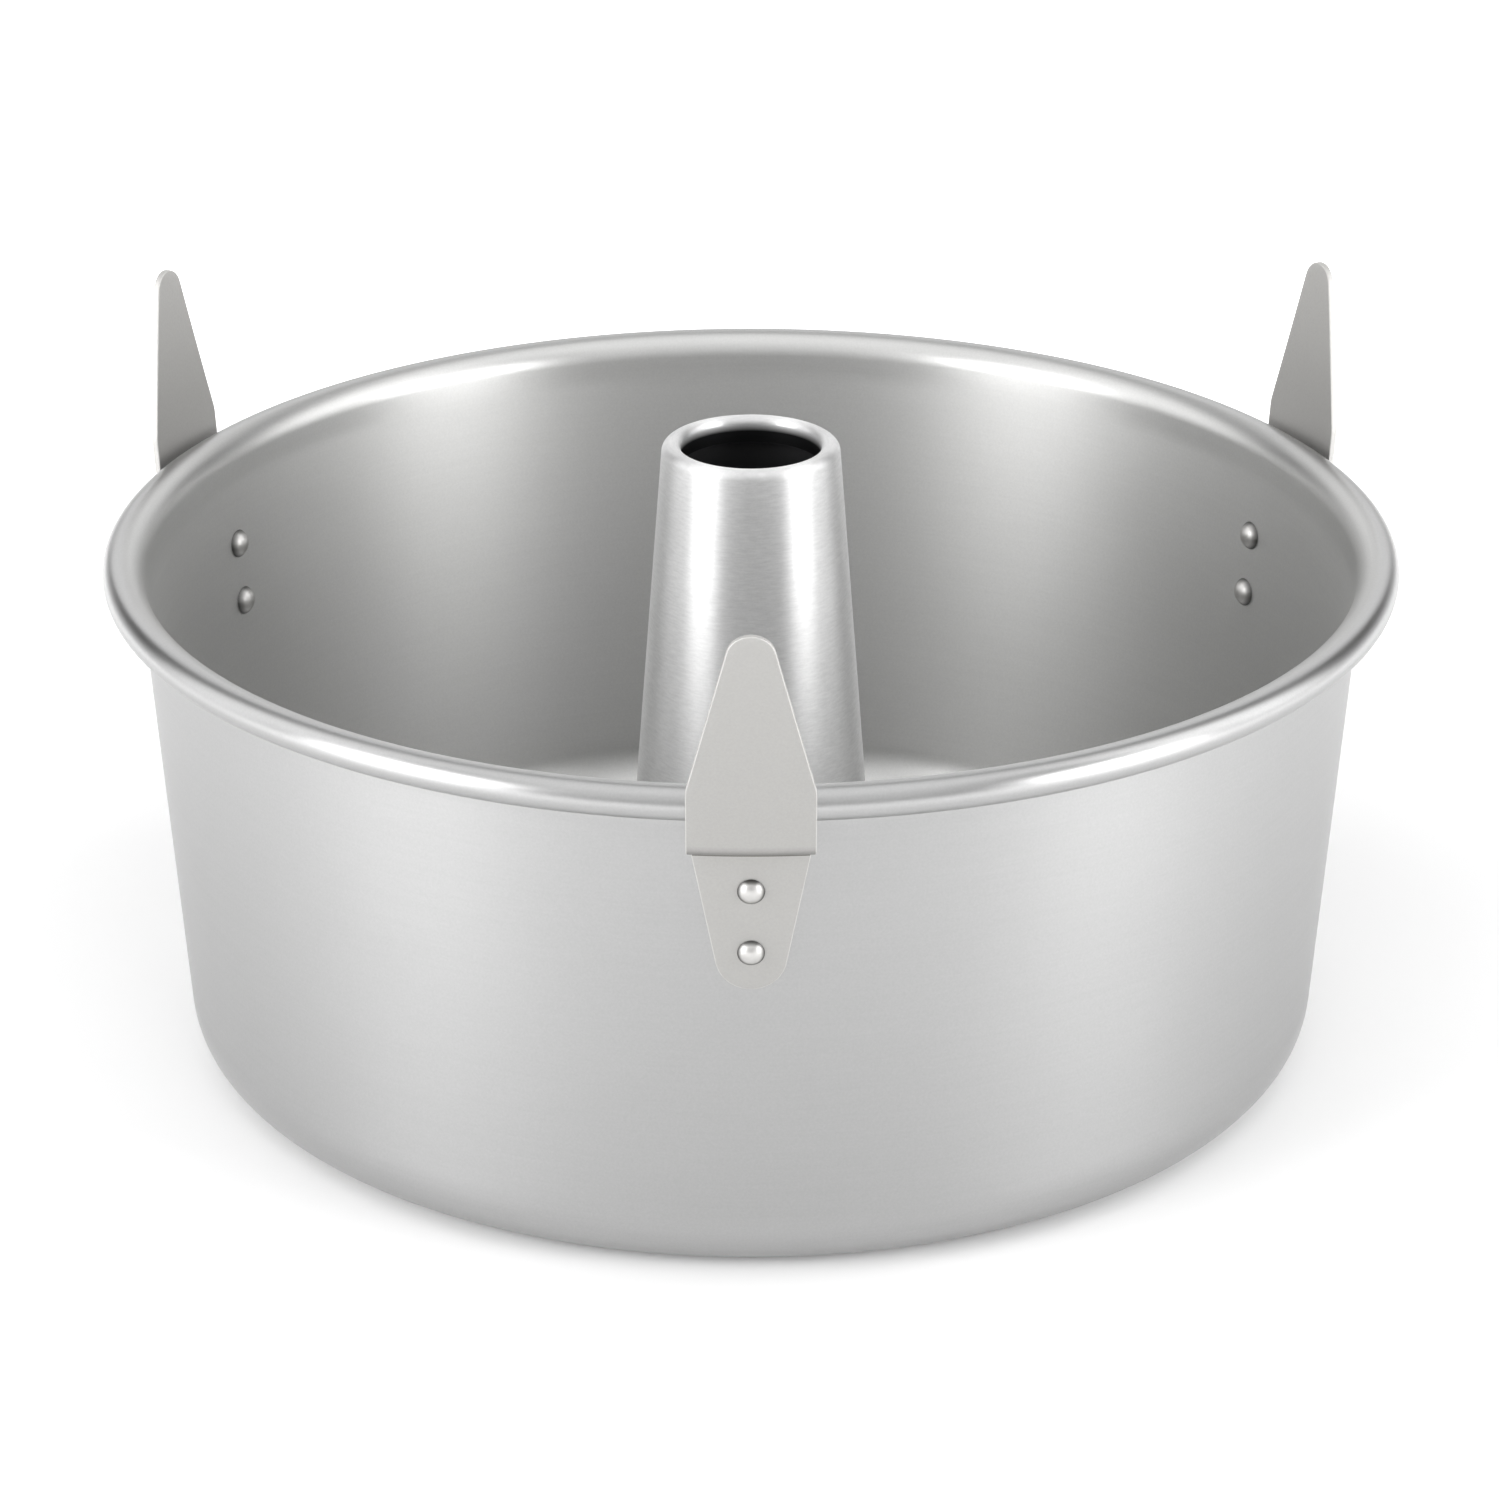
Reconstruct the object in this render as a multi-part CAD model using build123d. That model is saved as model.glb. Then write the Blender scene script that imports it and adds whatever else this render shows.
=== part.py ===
from build123d import *
from math import cos, radians, sin, tan
import os

# Angel food cake pan: a spun shell with a rolled rim, a lift-out base with a centre tube,
# and three bent feet, each held by two rivets. Millimetres, +Z up.
# The origin lies on the tube's axis, in the plane that the pan rests on.

# Shell
rim_radius = 135.0           # outermost radius of the rolled rim
rim_height = 107.2           # height of the roll's centre above the table
roll_radius = 3.4            # outside radius of the roll
roll_sweep = 225.0           # how far the sheet curls round, in degrees from the crest
rim_overhang = 8.26          # from the wall's inner face, at the crest, to the outermost radius
wall_taper = 4.26            # lean of the wall, in degrees
shell_gauge = 1.2            # sheet thickness of the shell
corner_radius = 10.8         # inner radius between wall and ledge
ledge_width = 8.0            # flat ledge that carries the base

# Base disc
disc_gauge = 1.2
disc_clearance = 0.4         # between the disc's edge and the start of the corner
disc_edge_radius = 0.5

# Centre tube
tube_height = 130.7
tube_gauge = 1.0
tube_taper = 4.41            # lean of the tube, in degrees
lip_bore_radius = 14.7       # clear opening, which takes a bottle's neck
lip_width = 3.8              # from the opening to the tube's outer face, at the top
lip_shoulder_radius = 2.6    # outer edge of the turned-in lip
lip_throat_radius = 1.3      # from the top of the lip into the opening
lip_depth = 4.0              # straight wall of the opening
tube_flange_width = 6.0      # turned out under the disc
tube_flange_bend = 0.4
tube_hole_clearance = 0.15   # between the tube and the hole in the disc
lock_bead_reach = 1.2        # ring that is swaged out above the disc
lock_bead_rise = 2.2         # half of the ring's height
lock_bead_radius = 1.2
lock_bead_clearance = 0.2    # between the ring and the disc

# Feet
foot_gauge = 1.3
foot_seat_gap = 0.1          # between the tab and the wall
foot_crease_reach = 2.95     # outer face of the foot at the crease, past the rim
foot_crease_drop = 7.75      # crease below the roll's centre
foot_crease_bend = 2.4       # outer radius of the upper bend
foot_step_drop = 12.6        # where the tab leaves the wall, below the roll's centre
foot_step_bend = 0.8         # outer radius of the lower bend
foot_tip_rise = 41.1         # tip above the roll's centre
foot_tip_radius = 4.6
foot_shoulder_rise = 6.3     # where the blade starts to taper
foot_half_width = 12.4
foot_shoulder_radius = 8.0
foot_waist_radius = 3.0
foot_tab_drop = 41.2         # lower end of the tab, below the roll's centre
foot_tab_radius = 6.9
front_azimuth_degrees = 270.0
rear_right_azimuth_degrees = 27.8
rear_left_azimuth_degrees = 154.7
front_splay_degrees = 14.0   # lean of the blade, out of the upright
rear_splay_degrees = 4.0

# Rivets
rivet_drops = {"upper": 19.8, "lower": 33.05}  # below the roll's centre
rivet_shank_radius = 1.6
rivet_hole_clearance = 0.1
rivet_seat_gap = 0.1         # under both heads
rivet_outer_head_radius = 2.65
rivet_outer_head_height = 1.5
rivet_inner_head_radius = 3.1
rivet_inner_head_height = 1.9

# Cuts run this far past what they go through
overrun = 5.0


# Heights and radii that follow from the sizes above
wall_lean = radians(wall_taper)
tube_lean = radians(tube_taper)
wall_foot_radius = rim_radius - rim_overhang - (rim_height + roll_radius) * tan(wall_lean)
tube_foot_radius = lip_bore_radius + lip_width + tube_height * tan(tube_lean)
foot_crease_radius = rim_radius + foot_crease_reach
disc_bottom = shell_gauge
disc_top = disc_bottom + disc_gauge
foot_turns = {
    "foot_front": (front_azimuth_degrees, front_splay_degrees),
    "foot_rear_right": (rear_right_azimuth_degrees, rear_splay_degrees),
    "foot_rear_left": (rear_left_azimuth_degrees, rear_splay_degrees),
}


def wall_inside(z):
    """Inner radius of the wall at a height."""
    return wall_foot_radius + z * tan(wall_lean)


def wall_outside(z):
    """Outer radius of the wall at a height."""
    return wall_inside(z) + shell_gauge / cos(wall_lean)


def tube_outside(z):
    """Outer radius of the tube's cone at a height."""
    return tube_foot_radius - z * tan(tube_lean)


corner_centre_radius = wall_inside(shell_gauge + corner_radius) - corner_radius / cos(wall_lean)


def closed_section(front, back):
    """Face between the two sides of a sheet, closed by a straight cut at each end."""
    return make_face([front, back, Line(front @ 0, back @ 0), Line(front @ 1, back @ 1)])


def bent_section(points, bends, gauge):
    """Section of a sheet bent along the points, with its gauge to the left of their way."""
    corners = [Vector(*point) for point in points]
    runs = [(end - start).normalized() for start, end in zip(corners, corners[1:])]
    sides = [run.rotate(Axis.Z, 90) for run in runs]
    inner_shifts = [(a + b) * (1 / (1 + a.dot(b))) for a, b in zip(sides, sides[1:])]
    shifts = [sides[0]] + inner_shifts + [sides[-1]]
    turns = [a.cross(b).Z for a, b in zip(runs, runs[1:])]
    back_bends = [bend - gauge if turn > 0 else bend + gauge for bend, turn in zip(bends, turns)]
    back_corners = [corner + shift * gauge for corner, shift in zip(corners, shifts)]
    front = FilletPolyline(*corners, radius=bends)
    back = FilletPolyline(*back_corners, radius=back_bends)
    return closed_section(front, back)


def spun(section):
    """Turn a section drawn in radius and height about the pan's axis."""
    face = section.face()
    upright = face if face.normal_at().Z > 0 else -face
    return revolve(Plane.XZ * upright, axis=Axis.Z)


def shell_line(inset):
    """One side of the shell's sheet: 0 is the inside of the pan and the outside of the roll."""
    roll_centre_radius = rim_radius - roll_radius
    # The crest's arc meets the wall and the top of the roll without a corner
    crest_reach = roll_centre_radius - wall_inside(rim_height + roll_radius)
    crest_radius = crest_reach / (1 / cos(wall_lean) - tan(wall_lean))
    corner_centre = (corner_centre_radius, shell_gauge + corner_radius)
    crest_centre = (roll_centre_radius, rim_height + roll_radius - crest_radius)
    corner = CenterArc(corner_centre, corner_radius + inset, -90, 90 - wall_taper)
    crest = CenterArc(crest_centre, crest_radius - inset, 180 - wall_taper, wall_taper - 90)
    roll = CenterArc((roll_centre_radius, rim_height), roll_radius - inset, 90, -roll_sweep)
    ledge = Line((corner_centre_radius - ledge_width, shell_gauge - inset), corner @ 0)
    return Wire([ledge, corner, Line(corner @ 1, crest @ 0), crest, roll])


def make_shell():
    """Ledge, rounded corner, tapering wall and rolled rim, spun from one sheet."""
    shell = spun(closed_section(shell_line(0), shell_line(shell_gauge)))
    for azimuth, splay in foot_turns.values():
        for drop in rivet_drops.values():
            shell -= rivet_hole(drop).rotate(Axis.Z, azimuth)
    return shell


def make_base_disc():
    """Flat disc that lies on the shell's ledge, with a hole for the tube."""
    plate = Circle(corner_centre_radius - disc_clearance)
    hole = Circle(tube_foot_radius + tube_hole_clearance)
    disc = Pos(0, 0, disc_bottom) * extrude(plate - hole, disc_gauge)
    return fillet(disc.edges().filter_by(GeomType.CIRCLE), disc_edge_radius)


def make_tube():
    """Tapered tube: flange under the disc, swaged ring above it and a turned-in lip."""
    ring_bottom = disc_top + lock_bead_clearance
    ring_middle = ring_bottom + lock_bead_rise
    ring_top = ring_middle + lock_bead_rise
    points = (
        (tube_foot_radius + tube_flange_width, disc_bottom),
        (tube_foot_radius, disc_bottom),
        (tube_foot_radius, ring_bottom),
        (tube_foot_radius + lock_bead_reach, ring_middle),
        (tube_outside(ring_top), ring_top),
        (tube_outside(tube_height), tube_height),
        (lip_bore_radius, tube_height),
        (lip_bore_radius, tube_height - lip_throat_radius - lip_depth),
    )
    bends = (
        tube_flange_bend,
        lock_bead_radius / 2,
        lock_bead_radius,
        lock_bead_radius / 2,
        lip_shoulder_radius,
        lip_throat_radius,
    )
    return spun(bent_section(points, bends, tube_gauge))


def rivet_frame(drop):
    """Frame on the wall's outer face, below the roll; its z axis points out of the wall."""
    z = rim_height - drop
    return Plane(
        origin=(wall_outside(z), 0, z),
        x_dir=(0, 1, 0),
        z_dir=(cos(wall_lean), 0, -sin(wall_lean)),
    )


def rivet_hole(drop):
    """Round hole through the wall and the tab."""
    hole = Circle(rivet_shank_radius + rivet_hole_clearance)
    return extrude(rivet_frame(drop) * hole, overrun, both=True)


def make_rivet(drop):
    """Shank with a domed head on the tab and a wider one inside the pan."""
    outer_seat = foot_seat_gap + foot_gauge + rivet_seat_gap
    inner_seat = -shell_gauge - rivet_seat_gap
    outer_top = (0, outer_seat + rivet_outer_head_height)
    inner_top = (0, inner_seat - rivet_inner_head_height)
    outer_edge = (rivet_outer_head_radius, outer_seat)
    inner_edge = (rivet_inner_head_radius, inner_seat)
    outer_dome = TangentArc(outer_top, outer_edge, tangent=(1, 0))
    inner_dome = TangentArc(inner_top, inner_edge, tangent=(1, 0))
    sides = Polyline(
        outer_edge, (rivet_shank_radius, outer_seat), (rivet_shank_radius, inner_seat), inner_edge
    )
    section = make_face([outer_dome, sides, inner_dome, Line(inner_top, outer_top)])
    return rivet_frame(drop) * revolve(Plane.XZ * section, axis=Axis.Z)


def foot_outline():
    """The foot seen along the radius: round tip, tapering blade, parallel waist, round tab."""
    shoulder = rim_height + foot_shoulder_rise
    crease = rim_height - foot_crease_drop
    tip = Pos(0, rim_height + foot_tip_rise - foot_tip_radius) * Circle(foot_tip_radius)
    tab = Pos(0, rim_height - foot_tab_drop + foot_tab_radius) * Circle(foot_tab_radius)
    waist_middle = Pos(0, (shoulder + crease) / 2)
    waist = waist_middle * Rectangle(foot_half_width * 2, shoulder - crease)
    outline = make_hull(tip.edges() + tab.edges() + waist.edges())
    for height, bend in ((shoulder, foot_shoulder_radius), (crease, foot_waist_radius)):
        for side in (-foot_half_width, foot_half_width):
            corner = outline.vertices().sort_by_distance((side, height, 0))[0]
            outline = fillet(corner, bend)
    return outline


def make_foot(splay):
    """Bent sheet foot: tab on the wall, step out under the rim, blade past the rim."""
    lean = radians(splay)
    skin = foot_seat_gap + foot_gauge / cos(wall_lean)
    tab_end = rim_height - foot_tab_drop
    step = rim_height - foot_step_drop
    crease = rim_height - foot_crease_drop
    tip = rim_height + foot_tip_rise
    points = (
        (wall_outside(tab_end - overrun) + skin, tab_end - overrun),
        (wall_outside(step) + skin, step),
        (foot_crease_radius, crease),
        (foot_crease_radius + (tip + overrun - crease) * tan(lean), tip + overrun),
    )
    band = spun(bent_section(points, (foot_step_bend, foot_crease_bend), foot_gauge))
    cutter = Plane.YZ * extrude(foot_outline(), foot_crease_radius + foot_tip_rise)
    foot = band & cutter
    for drop in rivet_drops.values():
        foot -= rivet_hole(drop)
    return foot


os.makedirs("parts", exist_ok=True)

nodes = {
    "pan_shell": make_shell(),
    "base_disc": make_base_disc(),
    "centre_tube": make_tube(),
}
for foot_name, (azimuth, splay) in foot_turns.items():
    nodes[foot_name] = make_foot(splay).rotate(Axis.Z, azimuth)
    for row, drop in rivet_drops.items():
        rivet_name = foot_name.replace("foot", "rivet") + "_" + row
        nodes[rivet_name] = make_rivet(drop).rotate(Axis.Z, azimuth)

for name, solid in nodes.items():
    export_step(solid, f"parts/{name}.step")
    print(name, round(solid.volume, 1), "mm3")
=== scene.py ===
from math import atan2, ceil, cos, degrees, radians, sin, sqrt, tan
import bmesh
import bpy
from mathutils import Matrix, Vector


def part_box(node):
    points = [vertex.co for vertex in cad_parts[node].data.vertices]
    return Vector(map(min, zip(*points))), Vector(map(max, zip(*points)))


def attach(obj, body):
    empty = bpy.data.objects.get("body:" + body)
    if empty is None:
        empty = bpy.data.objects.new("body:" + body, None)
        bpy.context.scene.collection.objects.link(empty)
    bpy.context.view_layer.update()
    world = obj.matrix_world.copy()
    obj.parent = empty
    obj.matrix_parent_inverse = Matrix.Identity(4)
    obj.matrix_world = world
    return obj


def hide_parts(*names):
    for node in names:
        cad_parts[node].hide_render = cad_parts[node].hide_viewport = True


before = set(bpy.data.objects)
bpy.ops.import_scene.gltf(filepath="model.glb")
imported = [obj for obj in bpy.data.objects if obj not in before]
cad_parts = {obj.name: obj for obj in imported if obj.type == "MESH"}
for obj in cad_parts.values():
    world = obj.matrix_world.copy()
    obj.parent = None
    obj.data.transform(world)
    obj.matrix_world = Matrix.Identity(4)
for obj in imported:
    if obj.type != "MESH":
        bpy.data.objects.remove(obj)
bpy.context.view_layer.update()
mm = 0.001
joinGap = 0.001 * mm  # points of a section closer than this are one
weldGap = 0.002 * mm  # and points of a mesh
cutGap = 0.01 * mm  # cuts closer than this to a point go through it
print("frame loaded")


# Helpers for colours and nodes

def linearColour(hexValue):
    parts = [int(hexValue[i:i + 2], 16) / 255 for i in (1, 3, 5)]
    return [c / 12.92 if c <= 0.04045 else ((c + 0.055) / 1.055) ** 2.4 for c in parts] + [1]


def addNode(tree, kind, inputs=None, **settings):
    node = tree.nodes.new(kind)
    for name, value in settings.items():
        setattr(node, name, value)
    for key, value in (inputs or {}).items():
        if isinstance(value, bpy.types.NodeSocket):
            tree.links.new(value, node.inputs[key])
        else:
            node.inputs[key].default_value = value
    return node


def newMaterial(name):
    material = bpy.data.materials.new(name)
    material.use_nodes = True
    material.node_tree.nodes.clear()
    return material, material.node_tree


# Helpers for sheet sections, drawn as radius and height

def arcPoints(centre, radius, start, sweep, step=6):
    count = max(2, ceil(abs(sweep) / step))
    angles = [radians(start + sweep * i / count) for i in range(count + 1)]
    return [Vector((centre[0] + radius * cos(a), centre[1] + radius * sin(a))) for a in angles]


def linePoints(start, end, step):
    a, b = Vector(start), Vector(end)
    count = max(1, ceil((b - a).length / step))
    return [a.lerp(b, i / count) for i in range(count + 1)]


def joinRuns(*runs):
    points = list(runs[0])
    for run in runs[1:]:
        points += [p for p in run if (p - points[-1]).length > joinGap]
    return points


def roundCorners(corners, radii, lineStep=4 * mm, arcStep=8):
    corners = [Vector(p) for p in corners]
    runs = []
    last = corners[0]
    for before, corner, after, radius in zip(corners, corners[1:], corners[2:], radii):
        inward, outward = (corner - before).normalized(), (after - corner).normalized()
        turn = atan2(inward.x * outward.y - inward.y * outward.x, inward.dot(outward))
        start = corner - inward * radius * tan(abs(turn) / 2)
        side = Vector((-inward.y, inward.x)) * (1 if turn > 0 else -1)
        centre = start + side * radius
        first = degrees(atan2(start.y - centre.y, start.x - centre.x))
        arc = arcPoints(centre, radius, first, degrees(turn), arcStep)
        runs += [linePoints(last, start, lineStep), arc]
        last = arc[-1]
    runs.append(linePoints(last, corners[-1], lineStep))
    return joinRuns(*runs)


def bentSides(points, bends, gauge):  # the gauge lies to the left of the way
    corners = [Vector(p) for p in points]
    runs = [(b - a).normalized() for a, b in zip(corners, corners[1:])]
    sides = [Vector((-r.y, r.x)) for r in runs]
    shifts = [(a + b) / (1 + a.dot(b)) for a, b in zip(sides, sides[1:])]
    shifts = [sides[0]] + shifts + [sides[-1]]
    turns = [a.x * b.y - a.y * b.x for a, b in zip(runs, runs[1:])]
    backBends = [r - gauge if t > 0 else r + gauge for r, t in zip(bends, turns)]
    backCorners = [c + s * gauge for c, s in zip(corners, shifts)]
    return roundCorners(corners, bends), roundCorners(backCorners, backBends)


# Helpers for meshes

def newPiece(name, verts=(), edges=(), faces=()):
    mesh = bpy.data.meshes.new(name)
    mesh.from_pydata([tuple(v) for v in verts], edges, faces)
    piece = bpy.data.objects.new(name, mesh)
    bpy.context.scene.collection.objects.link(piece)
    return piece


def applyTree(piece, tree, values):
    modifier = piece.modifiers.new(tree.name, "NODES")
    modifier.node_group = tree
    for item in tree.interface.items_tree:
        if item.name in values:
            modifier[item.identifier] = values[item.name]
    bpy.context.view_layer.update()
    graph = bpy.context.evaluated_depsgraph_get()
    shape = bpy.data.meshes.new_from_object(piece.evaluated_get(graph))
    piece.modifiers.remove(modifier)
    piece.data = shape


def turnOutwards(piece, sharpAngle=40):
    work = bmesh.new()
    work.from_mesh(piece.data)
    bmesh.ops.remove_doubles(work, verts=work.verts, dist=weldGap)
    bmesh.ops.recalc_face_normals(work, faces=work.faces)
    for face in work.faces:
        face.smooth = True
    for edge in work.edges:
        edge.smooth = edge.calc_face_angle(0) < radians(sharpAngle)
    work.to_mesh(piece.data)
    work.free()


# Metals, with grain and lines drawn as coarse as they need to show: heights, depths and spacings
# are in mm

# Spun aluminium with a satin etch: a soft grey sheen that runs up and down the wall, over a very fine
# grain and faint spinning lines that only just show. The roller has burnished the rim and the lower
# corner, which show crisper bands of light and dark. The side that lay on the mandrel is a little
# rougher, and is painted lighter: partly its own finish, partly painted light that makes up for the
# shade inside the pan.
satinShell = {
    "name": "satinSpunAluminium", "colour": "#B0B0B0", "roughness": 0.44, "stretch": 0.58,
    "insideColour": "#C6C6C5", "insideGain": 0.06, "insideReach": 60,
    "grainSize": 0.45, "grainDepth": 0.004, "grainTone": 0.03,
    "lineSpacing": 0.8, "lineLength": 30, "lineDepth": 0.0005, "lineTone": 0.012,
    "wallMiddle": 57, "wallReach": (42, 47), "burnish": 0.10,
}

# The flat base has the same etch, with faint marks that run round the axis and no streaks. Its even
# grey is painted a shade darker than the wall, as painted shade for the base deep in the pan.
satinBase = {
    "name": "shadedBaseAluminium", "colour": "#A9A9A8", "roughness": 0.4,
    "grainSize": 0.45, "grainDepth": 0.004, "grainTone": 0.03,
    "lineSpacing": 0.8, "lineLength": 30, "lineDepth": 0.0005, "lineTone": 0.02,
}

# Drawn tube, turned with fine emery: tall bright streaks along the tube, crossed by hairlines.
turnedTube = {
    "name": "fineTurnedAluminium", "colour": "#E4E4E4", "roughness": 0.52, "stretch": 0.82,
    "grainSize": 0.45, "grainDepth": 0.002, "grainTone": 0.02,
    "lineSpacing": 0.45, "lineLength": 2.5, "lineDepth": 0.004, "lineTone": 0.06,
}

# Inside of the tube, painted as painted shade: the tube's grey fades out a little way into the mouth,
# and further in the tone is near black, so that the bore looks black. Lower down, below the lip's
# sleeve, it is painted a little lighter, so that the deeper wall, which gets less light, shows the same
# black. The tones go with the height.
boreShade = {
    "name": "paintedShadeTubeInside", "roughness": 0.5,
    "grainSize": 0.45, "grainDepth": 0.002, "grainTone": 0.02,
    "tones": ((124.8, "#606062"), (125.6, "#262627"), (127.9, "#262627"), (129.3, "#E4E4E4")),
}

# Bead-blasted sheet: a matte warm grey with no streaks. Around the crease, on the bend above it and the
# top of the tab below it, the tone is painted darker as painted shade of the fold. The tones go with
# the height.
blastedFoot = {
    "name": "blastedAluminiumSheet", "roughness": 0.6,
    "grainSize": 0.45, "grainDepth": 0.006, "grainTone": 0.025,
    "tones": ((95.2, "#B0AFAD"), (96.2, "#7C7B79"), (98.8, "#8D8C8A"), (101.4, "#B0AFAD")),
}

# Sheared edge of the feet, tumbled smooth and painted lighter than the faces: partly its own finish,
# partly a painted highlight, a thin light line round the outline.
shearedEdge = {
    "name": "shearedEdgeHighlight", "colour": "#C5C4C2", "roughness": 0.66,
    "grainSize": 0.45, "grainDepth": 0.002, "grainTone": 0.02,
}

# Underside of the fold, painted dark as painted shade: a dark line under the crease.
foldShade = {
    "name": "foldShadeAluminium", "colour": "#76746F", "roughness": 0.7,
    "grainSize": 0.45, "grainDepth": 0.004, "grainTone": 0.03,
}

# Rivet heads, closed by a smooth punch: small bright domes. The lowest part of each dome is painted
# dark, as painted shade of the crevice round the head, and reads as a thin ring.
punchedRivet = {
    "name": "burnishedRivetAluminium", "colour": "#C8C7C5", "roughness": 0.42,
    "grainSize": 0.45, "grainDepth": 0.001, "grainTone": 0.01,
    "edgeShare": (0.05, 0.3), "edgeShadeTone": 0.25,
}

# What the noise patterns have in common: the span that a noise mostly keeps to, and soft clouds
# that vary the roughness
pattern = {
    "low": 0.3, "high": 0.7, "detail": 2.0,
    "lineDetail": 3.0, "lineFade": 0.6,
    "cloudSize": 35, "cloudReach": 0.015,
}


def spanNoise(tree, noise, middle, reach):  # turns a noise into a value of middle, plus or minus reach
    return addNode(tree, "ShaderNodeMapRange", {
        "Value": noise, "From Min": pattern["low"], "From Max": pattern["high"],
        "To Min": middle - reach, "To Max": middle + reach}).outputs[0]


def addGrain(tree, look, place):
    grain = addNode(tree, "ShaderNodeTexNoise", {
        "Vector": place, "Scale": 1 / (look["grainSize"] * mm), "Detail": pattern["detail"]}).outputs[0]
    normal = addNode(tree, "ShaderNodeBump", {
        "Height": grain, "Strength": 1.0, "Distance": look["grainDepth"] * mm}).outputs[0]
    return spanNoise(tree, grain, 1, look["grainTone"]), normal


def addLines(tree, look, axes, tone, normal):  # long thin marks that run round the axis
    flat = addNode(tree, "ShaderNodeCombineXYZ", {"X": axes["X"], "Y": axes["Y"]}).outputs[0]
    radius = addNode(tree, "ShaderNodeVectorMath", {0: flat}, operation="LENGTH").outputs["Value"]
    along = addNode(tree, "ShaderNodeMath", {0: radius, 1: axes["Z"]}, operation="ADD").outputs[0]
    turned = addNode(tree, "ShaderNodeCombineXYZ", {
        "X": axes["X"], "Y": axes["Y"], "Z": along}).outputs[0]
    length, spacing = look["lineLength"] * mm, look["lineSpacing"] * mm
    drawn = addNode(tree, "ShaderNodeVectorMath", {
        0: turned, 1: (1 / length, 1 / length, 1 / spacing)}, operation="MULTIPLY").outputs[0]
    lines = addNode(tree, "ShaderNodeTexNoise", {
        "Vector": drawn, "Scale": 1.0, "Detail": pattern["lineDetail"],
        "Roughness": pattern["lineFade"]}).outputs[0]
    lineTone = spanNoise(tree, lines, 1, look["lineTone"])
    tone = addNode(tree, "ShaderNodeMath", {0: tone, 1: lineTone}, operation="MULTIPLY").outputs[0]
    normal = addNode(tree, "ShaderNodeBump", {
        "Height": lines, "Normal": normal, "Strength": 1.0,
        "Distance": look["lineDepth"] * mm}).outputs[0]
    return tone, normal


def addInside(tree, look, axes, base, rough):  # another tone where the sheet looks towards the axis: lighter, partly the inside's own finish and partly painted light for the shaded inside
    flat = addNode(tree, "ShaderNodeCombineXYZ", {"X": axes["X"], "Y": axes["Y"]}).outputs[0]
    surface = addNode(tree, "ShaderNodeTexCoord").outputs["Normal"]
    outwards = addNode(tree, "ShaderNodeVectorMath", {
        0: flat, 1: surface}, operation="DOT_PRODUCT").outputs["Value"]
    inside = addNode(tree, "ShaderNodeMapRange", {
        "Value": outwards, "From Min": 0.0, "From Max": -look["insideReach"] * mm}).outputs[0]
    base = addNode(tree, "ShaderNodeMixRGB", {
        "Fac": inside, "Color1": base, "Color2": linearColour(look["insideColour"])}).outputs[0]
    gain = addNode(tree, "ShaderNodeMath", {
        0: inside, 1: look["insideGain"]}, operation="MULTIPLY").outputs[0]
    rough = addNode(tree, "ShaderNodeMath", {0: rough, 1: gain}, operation="ADD").outputs[0]
    return base, rough


def addHeightTones(tree, look, axes):
    lowest, highest = look["tones"][0][0], look["tones"][-1][0]
    share = addNode(tree, "ShaderNodeMapRange", {
        "Value": axes["Z"], "From Min": lowest * mm, "From Max": highest * mm}).outputs[0]
    ramp = addNode(tree, "ShaderNodeValToRGB", {"Fac": share})
    stops = ramp.color_ramp.elements
    while len(stops) < len(look["tones"]):
        stops.new(0.5)  # each stop gets its own place below
    for stop, (height, hexValue) in zip(stops, look["tones"]):
        stop.position = (height - lowest) / (highest - lowest)
        stop.color = linearColour(hexValue)
    return ramp.outputs["Color"]


def addCreviceShade(tree, look, tone):  # painted shade: darkens the foot of a rivet's head, where the crevice round it lies in shade
    share = addNode(tree, "ShaderNodeAttribute", attribute_name="headShare").outputs["Fac"]
    start, end = look["edgeShare"]
    shadeFactor = addNode(tree, "ShaderNodeMapRange", {
        "Value": share, "From Min": start, "From Max": end, "To Min": look["edgeShadeTone"]}).outputs[0]
    return addNode(tree, "ShaderNodeMath", {0: tone, 1: shadeFactor}, operation="MULTIPLY").outputs[0]


def addBurnish(tree, look, axes, rough):  # smooths what lies above and below the wall's plain part
    offset = addNode(tree, "ShaderNodeMath", {
        0: axes["Z"], 1: look["wallMiddle"] * mm}, operation="SUBTRACT").outputs[0]
    reach = addNode(tree, "ShaderNodeMath", {0: offset}, operation="ABSOLUTE").outputs[0]
    start, end = look["wallReach"]
    gain = addNode(tree, "ShaderNodeMapRange", {
        "Value": reach, "From Min": start * mm, "From Max": end * mm,
        "To Min": 0.0, "To Max": look["burnish"]}, interpolation_type="SMOOTHSTEP").outputs[0]
    return addNode(tree, "ShaderNodeMath", {0: rough, 1: gain}, operation="SUBTRACT").outputs[0]


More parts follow.
